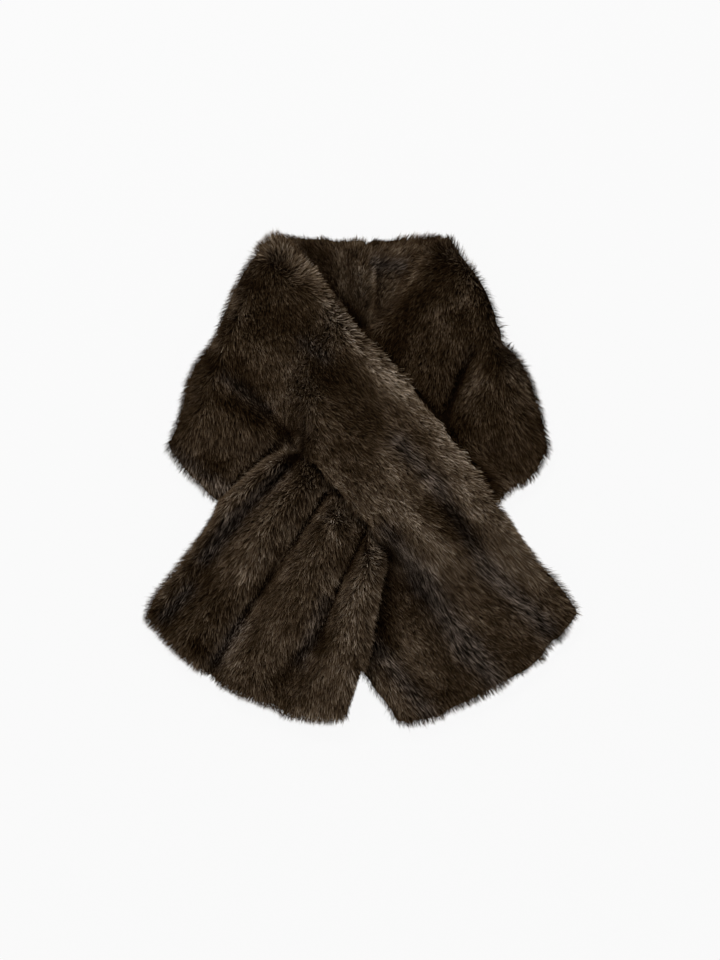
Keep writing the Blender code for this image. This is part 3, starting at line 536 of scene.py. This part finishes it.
def makePelt(panelName, fullEdges, valleys):
    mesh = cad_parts[panelName].data.copy()
    merged = bmesh.new()
    merged.from_mesh(mesh)
    bmesh.ops.remove_doubles(merged, verts=merged.verts, dist=peltShape["mergeWithin"])
    merged.to_mesh(mesh)
    merged.free()
    thing = addObject(panelName + "_pelt", mesh)
    remesh = thing.modifiers.new("evenFaces", "REMESH")
    remesh.mode = "VOXEL"
    remesh.voxel_size = peltShape["faceSize"]
    even = plainMesh(thing, panelName + "_pelt")
    thing.modifiers.clear()
    thing.data = even
    bpy.data.meshes.remove(mesh)

    places, normals, edges = placesOf(even), normalsOf(even), edgesOf(even)
    normals = unit(smoothed(normals, edges, peltShape["normalRounds"]))
    tree = BVHTree.FromPolygons(places.tolist(), [p.vertices[:] for p in even.polygons])
    depth = np.empty(len(places))
    for i, (place, normal) in enumerate(zip(places, normals)):
        hit = tree.ray_cast(Vector(place - normal * peltShape["rayStart"]), Vector(-normal))
        depth[i] = hit[3] if hit[0] else peltShape["inset"] * 2
    inwards = np.minimum(peltShape["inset"], depth * peltShape["mostOfThickness"])
    inwards = smoothed(inwards, edges, peltShape["insetRounds"])
    moved = smoothed(places - normals * inwards[:, None], edges, peltShape["peltRounds"])
    free = 1 - np.clip(strokesAt(places, fullEdges), 0, 1)[:, None]
    ripple = [noise.noise(Vector(place / peltShape["rippleSize"])) for place in places]
    sides = 1 - (1 - peltShape["sideShare"]) * ramp(np.abs(normals[:, 2]), *peltShape["sides"])[:, None]
    drawnIn = (moved - places)[:, :2] * free * sides
    places[:, :2] += drawnIn + normals[:, :2] * (1 - free) * peltShape["overlap"]
    facingUp = np.clip(normals[:, 2], 0, 1)
    lowered = np.minimum(strokesAt(places, valleys) * mm, peltShape["deepestValley"] * depth) * facingUp
    lowered = smoothed(lowered, edges, peltShape["valleyRounds"])
    places[:, 2] = moved[:, 2] + peltShape["ripple"] * np.array(ripple) * facingUp - lowered
    even.vertices.foreach_set("co", places.astype(np.float32).ravel())
    even.shade_smooth()
    even.update()
    return thing


def sphereOfWays(count):
    k = np.arange(count) + 0.5
    z, turn = 1 - 2 * k / count, np.pi * (1 + 5**0.5) * k
    flat = np.sqrt(1 - z * z)
    return np.stack((flat * np.cos(turn), flat * np.sin(turn), z), 1)


# How far and how finely each place looks around
outlook = {
    "ways": 40,  # in all directions
    "reach": 0.07,  # m
    "leastRise": 0.25,  # of a way out, along the normal
    "start": 1.5 * mm,
}


# Share of the ways out from each vertex that meet neither a pelt nor the surface below
def openness(places, normals, obstacles):
    ways, reach = sphereOfWays(outlook["ways"]), outlook["reach"]
    shares = np.zeros(len(places))
    for i, (place, normal) in enumerate(zip(places, normals)):
        start = Vector(place + normal * outlook["start"])
        outwards = ways[ways @ normal > outlook["leastRise"]]
        free = 0
        for way in outwards:
            if way[2] < 0 and start.z + way[2] * reach < 0:
                continue
            free += obstacles.ray_cast(start, Vector(way), reach)[0] is None
        shares[i] = free / max(len(outwards), 1)
    return shares


# How the pile is combed, thins out where it is hidden, is shorter in valleys and gets painted shade there.
# Pairs are a ramp's ends.
peltFur = {
    "outwardRim": 0.5,  # how far the pile turns outwards at a rim
    "agreement": 0.6,  # where the rows of combing agree less, the pile stands up
    "openRounds": 2,  # rounds of smoothing
    "growthRounds": 8,
    "surfaceRounds": 3,
    "rimRounds": 2,
    "facingUp": (-0.2, 0.4),
    "rim": (0.75, 0.25),  # how far up the surface faces
    "fullValley": 8,  # mm
    "openToCover": (0.04, 0.25),
    "leastCover": 0.06,
    "openToLoft": (0.02, 0.2),
    "leastLoft": 0.75,
    "valleyThins": 0.25,
    "valleyShortens": 0.65,
    # Painted shade in valleys, in stops
    "valleyPaintedShade": 1.0,  # stops
    "rimShortens": 0.38,
    "seenAlong": 0.6,  # how far along a hair its colour shows
}


def combedWay(places, normals, rows, rim):
    plan = places[:, :2] / mm
    way, total = np.zeros((len(plan), 3)), np.zeros(len(plan))
    for x, y, heading, reach in rows:
        weight = (np.exp(-((plan - (x, y)) ** 2).sum(1) / (2 * reach**2)) + 1e-9) / reach
        angle = math.radians(heading)
        way += weight[:, None] * (math.cos(angle), math.sin(angle), 0)
        total += weight
    # Where rows disagree the pile stands up
    way /= np.maximum(np.linalg.norm(way, axis=1), peltFur["agreement"] * total)[:, None]
    way += rim[:, None] * unit(normals * (1, 1, 0)) * peltFur["outwardRim"]
    return way - normals * (way * normals).sum(1, keepdims=True)


def keepOn(mesh, name, values):
    kind, field = ("FLOAT", "value") if values.ndim == 1 else ("FLOAT_VECTOR", "vector")
    layer = mesh.attributes.new(name, kind, "POINT")
    layer.data.foreach_set(field, values.astype(np.float32).ravel())


def readFrom(mesh, name):
    values = np.empty(len(mesh.vertices), np.float32)
    mesh.attributes[name].data.foreach_get("value", values)
    return values


def combPelt(pelt, panel, obstacles):
    mesh = pelt.data
    places, normals, edges = placesOf(mesh), normalsOf(mesh), edgesOf(mesh)
    openShare = smoothed(openness(places, normals, obstacles), edges, peltFur["openRounds"])
    growth = smoothed(normals, edges, peltFur["growthRounds"])
    growth[:, 2] += strokesAt(places, panel.get("upright", ()))
    growth = unit(growth)
    keepOn(mesh, "growth", growth)
    keepOn(mesh, "surface", unit(smoothed(normals, edges, peltFur["surfaceRounds"])))
    facingUp = ramp(normals[:, 2], *peltFur["facingUp"])
    inValley = np.clip(strokesAt(places, panel["valleys"]) / peltFur["fullValley"], 0, 1) * facingUp
    least = peltFur["leastCover"]
    cover = least + (1 - least) * ramp(openShare, *peltFur["openToCover"])
    keepOn(mesh, "cover", cover * (1 - peltFur["valleyThins"] * inValley))
    rim = smoothed(ramp(np.abs(normals[:, 2]), *peltFur["rim"]), edges, peltFur["rimRounds"])
    keepOn(mesh, "rim", rim)
    shortened = (1 - peltFur["valleyShortens"] * inValley) * (1 - peltFur["rimShortens"] * rim)
    shortened *= 1 - strokesAt(places, panel.get("trims", ()))
    least = peltFur["leastLoft"]
    loft = least + (1 - least) * ramp(openShare, *peltFur["openToLoft"])
    keepOn(mesh, "loft", loft * shortened)
    combing = combedWay(places, normals, panel["combing"], rim)
    keepOn(mesh, "combing", combing)
    # Strokes of tone with painted light and shade, and strokes of painted sheen, lie where the hairs show,
    # which is a good way along them
    coat = coats["fur"]
    lean = np.radians(coat["lean"] + coat["rimLean"] * rim)[:, None]
    hairWay = growth * np.cos(lean) + combing * np.sin(lean)
    seen = places + coat["length"] * peltFur["seenAlong"] * hairWay
    # Painted light and shade with the fur's own tone, in stops, and painted shade in the valleys
    toneAndPaintedLight = panel["toneAndShade"] + strokesAt(seen, panel["paintedLightAndTone"]) * facingUp
    keepOn(mesh, "toneAndPaintedLight", toneAndPaintedLight - peltFur["valleyPaintedShade"] * inValley)
    # Painted sheen: how much the fur is drawn as silver hairs where glossy fur lies flat
    keepOn(mesh, "greySheen", strokesAt(seen, panel["greySheens"]) * facingUp)


# The density that gives about this many hairs, from the pelt's faces and their cover
def hairDensity(mesh, hairs):
    cover = readFrom(mesh, "cover")
    area = sum(p.area * cover[list(p.vertices)].mean() for p in mesh.polygons)
    return hairs / area


def keepAbove(mesh, height):
    places = placesOf(mesh)
    places[:, 2] = np.maximum(places[:, 2], height)
    mesh.vertices.foreach_set("co", places.astype(np.float32).ravel())


# One small cell of the map for each hair, so that its colours keep their place from root to tip
def mapHairs(mesh):
    count = len(mesh.vertices) // verticesPerHair
    across = math.ceil(math.sqrt(count))
    hair = np.arange(len(mesh.vertices)) // verticesPerHair
    (left, width), (bottom, height) = hairShape["cellAcross"], hairShape["cellAlong"]
    u = hair % across + left + width * readFrom(mesh, "side")
    v = hair // across + bottom + height * readFrom(mesh, "along")
    places = np.stack((u, v), 1) / across
    corners = np.empty(len(mesh.loops), np.int32)
    mesh.loops.foreach_get("vertex_index", corners)
    layer = mesh.uv_layers.new(name="OFBake")
    layer.data.foreach_set("uv", places[corners].astype(np.float32).ravel())


def growCoat(pelt, panelName, coatName, values, tree, fur):
    grower = addObject("grower", pelt.data.copy())
    modifier = grower.modifiers.new("furPile", "NODES")
    modifier.node_group = tree
    settings = {socketName: coats[coatName][key] for socketName, key in pileInputs.items()}
    settings["Hairs per m2"] = hairDensity(pelt.data, values["hairs"])
    settings["Seed"], settings["Fur"] = values["seed"], fur
    for item in tree.interface.items_tree:
        if item.in_out == "INPUT" and item.name in settings:
            modifier[item.identifier] = settings[item.name]
    name = f"{panelName}_{coatName}"
    mesh = plainMesh(grower, name)
    bpy.data.objects.remove(grower)
    mapHairs(mesh)
    keepAbove(mesh, hairShape["leastHeight"])
    for spare in ("side", "cover", "loft", "rim", "combing", "growth", "surface"):
        if spare in mesh.attributes:
            mesh.attributes.remove(mesh.attributes[spare])
    mesh.materials.clear()
    mesh.materials.append(fur)
    print(f"{name}: {len(mesh.vertices) // verticesPerHair} hairs")
    return addObject(name, mesh)


def newMaterial(name, roughness):
    material = bpy.data.materials.new(name)
    material.use_nodes = True
    shader = material.node_tree.nodes["Principled BSDF"]
    shader.inputs["Roughness"].default_value = roughness
    shader.inputs["Specular IOR Level"].default_value = 0.0
    return material, material.node_tree, shader


# Colours are linear red, green and blue
furColours = {
    "root": (0.007, 0.0036, 0.0017),
    "middle": (0.0335, 0.0220, 0.0126),
    "tip": (0.146, 0.098, 0.0575),
    "middleAlong": 0.6,
    # Colour of the painted sheen, drawn as silver hairs where glossy fur lies flat
    "greySheen": (0.175, 0.136, 0.108),
    "patches": 2.0,  # how many stops apart the darkest and the lightest are
    "flecks": 2.2,
    "locks": 0.68,
    "hairs": 1.35,
    "guardHairs": 1.3,
    "patchScale": 20.0,
    "fleckScale": 75.0,
    "warmth": (0.90, 1.0, 1.14),  # how fast red, green and blue change with the shade
    # How the painted sheen's silver hairs follow their locks and tints, and how light they get
    "sheenLocks": 0.5,  # how much silver hairs keep to their locks
    "sheenChances": (0.65, 1.15),
    "sheenLevels": (0.12, 0.9),
    "roughness": 0.55,
}


def attribute(tree, name):
    return addNode(tree, "ShaderNodeAttribute", output=2, attribute_name=name)


def mixedColour(tree, share, a, b):
    return addNode(tree, "ShaderNodeMix", {0: share, 6: a, 7: b}, output=2, data_type="RGBA")


def makeFur():
    material, tree, shader = newMaterial("furPile", furColours["roughness"])
    along, tint = attribute(tree, "along"), attribute(tree, "tint")
    # Darker towards the root: partly the fur's own colour and partly painted shade deep in the pile
    rootToTip = tree.nodes.new("ShaderNodeValToRGB")
    marks = rootToTip.color_ramp.elements
    marks[0].color = (*furColours["root"], 1)
    marks[1].color = (*furColours["tip"], 1)
    middle = marks.new(furColours["middleAlong"])
    middle.color = (*furColours["middle"], 1)
    tree.links.new(along, rootToTip.inputs[0])
    place = addNode(tree, "ShaderNodeTexCoord", output=3)
    patches = {"Vector": place, "Scale": furColours["patchScale"], "Detail": 2.0}
    patches = addNode(tree, "ShaderNodeTexNoise", patches)
    flecks = {"Vector": place, "Scale": furColours["fleckScale"], "Detail": 1.0}
    flecks = addNode(tree, "ShaderNodeTexNoise", flecks)
    # Brightness in stops: painted light and shade with the panel's tone, then random patches, flecks, locks
    # and hairs
    stops = maths(tree, "MULTIPLY_ADD", patches, furColours["patches"], attribute(tree, "toneAndPaintedLight"))
    stops = maths(tree, "MULTIPLY_ADD", flecks, furColours["flecks"], stops)
    stops = maths(tree, "MULTIPLY_ADD", attribute(tree, "lock"), furColours["locks"], stops)
    guard = mappedTo(tree, tint, (hairShape["guardHairs"][0], 1.0), (0.0, furColours["guardHairs"]))
    stops = maths(tree, "ADD", maths(tree, "MULTIPLY_ADD", tint, furColours["hairs"], stops), guard)
    middling = sum(furColours[name] for name in ("patches", "flecks", "locks", "hairs")) / 2
    stops = maths(tree, "SUBTRACT", stops, middling)
    # Dark fur is warmer than light fur
    level = addNode(tree, "ShaderNodeCombineXYZ", {
        k: maths(tree, "POWER", 2.0, maths(tree, "MULTIPLY", stops, rate))
        for k, rate in enumerate(furColours["warmth"])
    })
    colour = vectorMaths(tree, "MULTIPLY", rootToTip.outputs[0], level)
    # Painted sheen: where glossy fur lies flat, silver hairs stand among nearly black ones, lighter towards
    # the tip
    chance = maths(tree, "MULTIPLY_ADD", attribute(tree, "lock"), furColours["sheenLocks"], tint)
    silverSheen = mappedTo(tree, chance, furColours["sheenChances"], furColours["sheenLevels"])
    silverSheen = maths(tree, "MULTIPLY", silverSheen, maths(tree, "MULTIPLY", along, level))
    colour = mixedColour(tree, attribute(tree, "greySheen"), colour, scaled(tree, furColours["greySheen"], silverSheen))
    tree.links.new(colour, shader.inputs["Base Color"])
    # Each hair is shaded partly as the pile around it and partly as its own side
    lie = addNode(tree, "ShaderNodeAttribute", output=1, attribute_name="lie")
    facing = addNode(tree, "ShaderNodeNewGeometry", output=1)
    facing = vectorMaths(tree, "NORMALIZE", vectorMaths(tree, "ADD", facing, lie))
    tree.links.new(facing, shader.inputs["Normal"])
    return material


# The pelt's backing is nearly black: partly its own colour and partly painted shade where it shows between
# the hairs
backing = {
    "dark": (0.002, 0.00112, 0.0006),
    "light": (0.005, 0.0028, 0.0015),
    "grain": 420.0,
    "roughness": 0.9,
}


def makePeltSkin():
    material, tree, shader = newMaterial("peltBacking", backing["roughness"])
    place = addNode(tree, "ShaderNodeTexCoord", output=3)
    grain = {"Vector": place, "Scale": backing["grain"], "Detail": 3.0}
    grain = addNode(tree, "ShaderNodeTexNoise", grain)
    colour = mixedColour(tree, grain, (*backing["dark"], 1), (*backing["light"], 1))
    tree.links.new(colour, shader.inputs["Base Color"])
    return material


studio = {
    "lens": 200.0,  # mm
    "sensor": 36.0,  # mm
    "frameHeight": 1.056,  # m, seen at the wrap
    "aim": (-0.00275, -0.0011, 0.03),
    "seenTo": 50.0,  # m
    "floorHalf": 20.0,  # m
    "floorGlow": 0.925,
    "floorColour": (0.02, 0.02, 0.02),
    "sky": 0.925,
    "keyPower": 60.0,  # W
    "keySize": 0.8,  # m
    "keyPlace": (-0.6, 1.65, 1.9),
}


def makeStudio():
    camera = bpy.data.cameras.new("camera")
    camera.lens, camera.sensor_width = studio["lens"], studio["sensor"]
    camera.clip_end = studio["seenTo"]
    x, y, z = studio["aim"]
    far = studio["frameHeight"] * studio["lens"] / studio["sensor"]
    bpy.context.scene.camera = addObject("camera", camera)
    bpy.context.scene.camera.location = (x, y, z + far)

    mesh = bpy.data.meshes.new("floor")
    half = studio["floorHalf"]
    corners = [(-half, -half, 0), (half, -half, 0), (half, half, 0), (-half, half, 0)]
    mesh.from_pydata(corners, [], [(0, 1, 2, 3)])
    floor = addObject("floor", mesh)
    material, tree, shader = newMaterial("paleFloor", 1.0)
    shader.inputs["Base Color"].default_value = (*studio["floorColour"], 1)
    shader.inputs["Emission Color"].default_value = (1, 1, 1, 1)
    shader.inputs["Emission Strength"].default_value = studio["floorGlow"]
    mesh.materials.append(material)

    world = bpy.data.worlds.new("softSky")
    world.use_nodes = True
    sky = world.node_tree.nodes["Background"]
    sky.inputs["Color"].default_value = (1, 1, 1, 1)
    sky.inputs["Strength"].default_value = studio["sky"]
    bpy.context.scene.world = world
    key = bpy.data.lights.new("keyLight", "AREA")
    key.energy, key.shape, key.size = studio["keyPower"], "SQUARE", studio["keySize"]
    lamp = addObject("keyLight", key)
    lamp.location = studio["keyPlace"]
    lamp.rotation_euler = (Vector((0, 0, 0)) - lamp.location).to_track_quat("-Z", "Y").to_euler()
    bpy.context.scene.view_settings.view_transform = "Standard"


makeStudio()
print("studio ready")
pelts = {name: makePelt(name, values["fullEdges"], values["valleys"]) for name, values in panels.items()}
print("pelts:", {name: len(pelt.data.polygons) for name, pelt in pelts.items()})

allPlaces, allFaces = [], []
for pelt in pelts.values():
    offset = sum(len(places) for places in allPlaces)
    allPlaces.append(placesOf(pelt.data))
    allFaces += [[v + offset for v in p.vertices] for p in pelt.data.polygons]
obstacles = BVHTree.FromPolygons(np.concatenate(allPlaces).tolist(), allFaces)
for name, pelt in pelts.items():
    combPelt(pelt, panels[name], obstacles)
print("pelts combed")

pileTree, furMaterial, peltMaterial = makePileTree(), makeFur(), makePeltSkin()
hairPieces = {}
for name, pelt in pelts.items():
    hairPieces[name] = [
        growCoat(pelt, name, coatName, values, pileTree, furMaterial)
        for coatName, values in panels[name]["coats"].items()
    ]
    pelt.data.materials.clear()
    pelt.data.materials.append(peltMaterial)
    pelt.data.polygons.foreach_set("material_index", [0] * len(pelt.data.polygons))

for name, pelt in pelts.items():
    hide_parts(name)
    for piece in (pelt, *hairPieces[name]):
        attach(piece, "root")
print("pieces declared")
